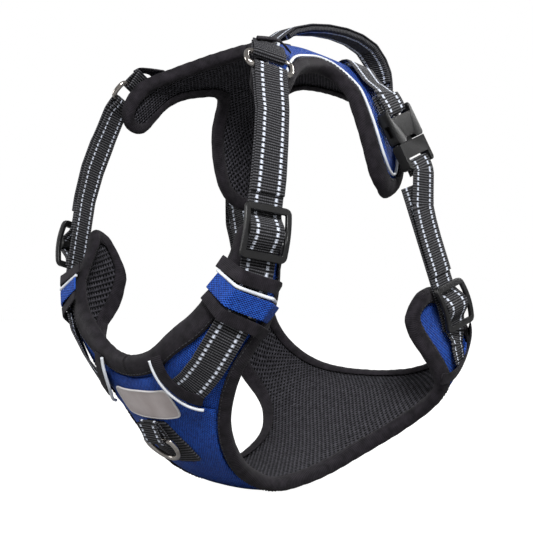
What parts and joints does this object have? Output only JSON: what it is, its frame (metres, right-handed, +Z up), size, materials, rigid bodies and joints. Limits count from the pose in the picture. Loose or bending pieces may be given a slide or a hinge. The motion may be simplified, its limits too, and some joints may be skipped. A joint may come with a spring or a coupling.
{
  "type": "no-pull dog harness",
  "caption": "Adjustable step-free dog harness with padded chest and back panels, buckled girth straps, front leash ring and carry handle.",
  "frame": {"origin": "centre of the bounding box's bottom face, under the sternum strap", "axes": "+Z up, -Y the way the dog faces, +X the dog's left, as worn"},
  "size_m": [0.2544, 0.3123, 0.3919],
  "materials": {
    "mesh_lining": "open spacer mesh, matt",
    "shell_cloth": "coated woven nylon, low sheen",
    "edge_tape": "knitted binding tape, matt",
    "webbing": "ribbed woven webbing",
    "reflective": "reflective piping",
    "hard_plastic": "satin moulded acetal",
    "ring_metal": "plated steel wire",
    "label_cloth": "blank woven label"
  },
  "bodies": {
    "harness": {"arm_cover_band_left": "edge_tape", "arm_cover_band_right": "edge_tape", "back_binding": "edge_tape", "back_girth_webbing": "webbing", "back_lining": "mesh_lining", "back_piping": "reflective", "back_shell": "shell_cloth", "buckle_female_left": "hard_plastic", "buckle_female_right": "hard_plastic", "chest_binding": "edge_tape", "chest_lining": "mesh_lining", "chest_overlay": "shell_cloth", "chest_shell": "shell_cloth", "front_ring_base": "webbing", "front_ring_tab": "webbing", "girth_anchor_webbing_left": "webbing", "girth_anchor_webbing_right": "webbing", "girth_mouth_band_left": "edge_tape", "girth_mouth_band_right": "edge_tape", "girth_strap_left": "webbing", "girth_strap_right": "webbing", "handle_front_patch": "webbing", "keeper_left": "shell_cloth", "keeper_lower_band_left": "edge_tape", "keeper_lower_band_right": "edge_tape", "keeper_piping_left": "reflective", "keeper_piping_right": "reflective", "keeper_right": "shell_cloth", "keeper_upper_band_left": "edge_tape", "keeper_upper_band_right": "edge_tape", "label_patch": "label_cloth", "neck_mouth_band_left": "edge_tape", "neck_mouth_band_right": "edge_tape", "neck_mouth_piping_left": "reflective", "neck_mouth_piping_right": "reflective", "neck_strap_left": "webbing", "neck_strap_right": "webbing", "ring_retainer_left": "webbing", "ring_retainer_right": "webbing"},
    "neck_ring_left": {"neck_ring_left": "ring_metal"},
    "neck_adjuster_left": {"neck_slider_left": "hard_plastic", "neck_slider_loop_left": "webbing"},
    "plug_left": {"buckle_male_left": "hard_plastic"},
    "prong_front_left": {"buckle_prong_front_left": "hard_plastic"},
    "prong_rear_left": {"buckle_prong_rear_left": "hard_plastic"},
    "girth_adjuster_left": {"girth_slider_left": "hard_plastic", "girth_slider_loop_left": "webbing"},
    "neck_ring_right": {"neck_ring_right": "ring_metal"},
    "neck_adjuster_right": {"neck_slider_right": "hard_plastic", "neck_slider_loop_right": "webbing"},
    "plug_right": {"buckle_male_right": "hard_plastic"},
    "prong_front_right": {"buckle_prong_front_right": "hard_plastic"},
    "prong_rear_right": {"buckle_prong_rear_right": "hard_plastic"},
    "girth_adjuster_right": {"girth_slider_right": "hard_plastic", "girth_slider_loop_right": "webbing"},
    "front_ring": {"front_leash_ring": "ring_metal"},
    "handle": {"handle_webbing": "webbing", "handle_padding": "edge_tape"}
  },
  "joints": [
    {"name": "front_ring_swing", "type": "hinge", "parent": "harness", "child": "front_ring", "pos_m": [0, -0.12298, 0.04571], "axis": [-1, 0, 0], "range_deg": [0, 95]},
    {"name": "neck_ring_swing_left", "type": "hinge", "parent": "harness", "child": "neck_ring_left", "pos_m": [0.07943, -0.08616, 0.32437], "axis": [0.4134, 0.8806, -0.2316], "range_deg": [-3, 3], "deforming": ["neck_strap_left"]},
    {"name": "neck_adjust_left", "type": "slide", "parent": "harness", "child": "neck_adjuster_left", "axis": [-0.0077, 0.1634, 0.9865], "range_m": [-0.003, 0.008]},
    {"name": "girth_release_left", "type": "slide", "parent": "harness", "child": "plug_left", "axis": [0.2499, 0.3699, -0.8948], "range_m": [0, 0.02], "deforming": ["girth_strap_left"]},
    {"name": "prong_front_press_left", "type": "hinge", "parent": "plug_left", "child": "prong_front_left", "pos_m": [0.10167, 0.03778, 0.2727], "axis": [-0.9683, 0.0926, -0.2322], "range_deg": [0, 7], "stiffness_Nm_per_rad": 0.05},
    {"name": "prong_rear_press_left", "type": "hinge", "parent": "plug_left", "child": "prong_rear_left", "pos_m": [0.1016, 0.05922, 0.28155], "axis": [0.9683, -0.0926, 0.2322], "range_deg": [0, 7], "stiffness_Nm_per_rad": 0.05},
    {"name": "girth_adjust_left", "type": "slide", "parent": "harness", "child": "girth_adjuster_left", "axis": [-0.1251, -0.308, 0.9431], "range_m": [-0.002, 0.014]},
    {"name": "neck_ring_swing_right", "type": "hinge", "parent": "harness", "child": "neck_ring_right", "pos_m": [-0.07943, -0.08616, 0.32437], "axis": [-0.4134, 0.8806, -0.2316], "range_deg": [-3, 3], "deforming": ["neck_strap_right"]},
    {"name": "neck_adjust_right", "type": "slide", "parent": "harness", "child": "neck_adjuster_right", "axis": [0.0077, 0.1634, 0.9865], "range_m": [-0.003, 0.008]},
    {"name": "girth_release_right", "type": "slide", "parent": "harness", "child": "plug_right", "axis": [-0.2499, 0.3699, -0.8948], "range_m": [0, 0.02], "deforming": ["girth_strap_right"]},
    {"name": "prong_front_press_right", "type": "hinge", "parent": "plug_right", "child": "prong_front_right", "pos_m": [-0.10167, 0.03778, 0.2727], "axis": [-0.9683, -0.0926, 0.2322], "range_deg": [0, 7], "stiffness_Nm_per_rad": 0.05},
    {"name": "prong_rear_press_right", "type": "hinge", "parent": "plug_right", "child": "prong_rear_right", "pos_m": [-0.1016, 0.05922, 0.28155], "axis": [0.9683, 0.0926, -0.2322], "range_deg": [0, 7], "stiffness_Nm_per_rad": 0.05},
    {"name": "girth_adjust_right", "type": "slide", "parent": "harness", "child": "girth_adjuster_right", "axis": [0.1251, -0.308, 0.9431], "range_m": [-0.002, 0.014]},
    {"name": "handle_fold", "type": "hinge", "parent": "harness", "child": "handle", "pos_m": [0, -0.00775, 0.36401], "axis": [0, 0.9915, -0.1299], "range_deg": [-20, 20], "deforming": ["handle_webbing"]}
  ],
  "couplings": [
    {"joint": "prong_rear_press_left", "follows": "prong_front_press_left", "ratio": 1},
    {"joint": "prong_rear_press_right", "follows": "prong_front_press_right", "ratio": 1}
  ]
}
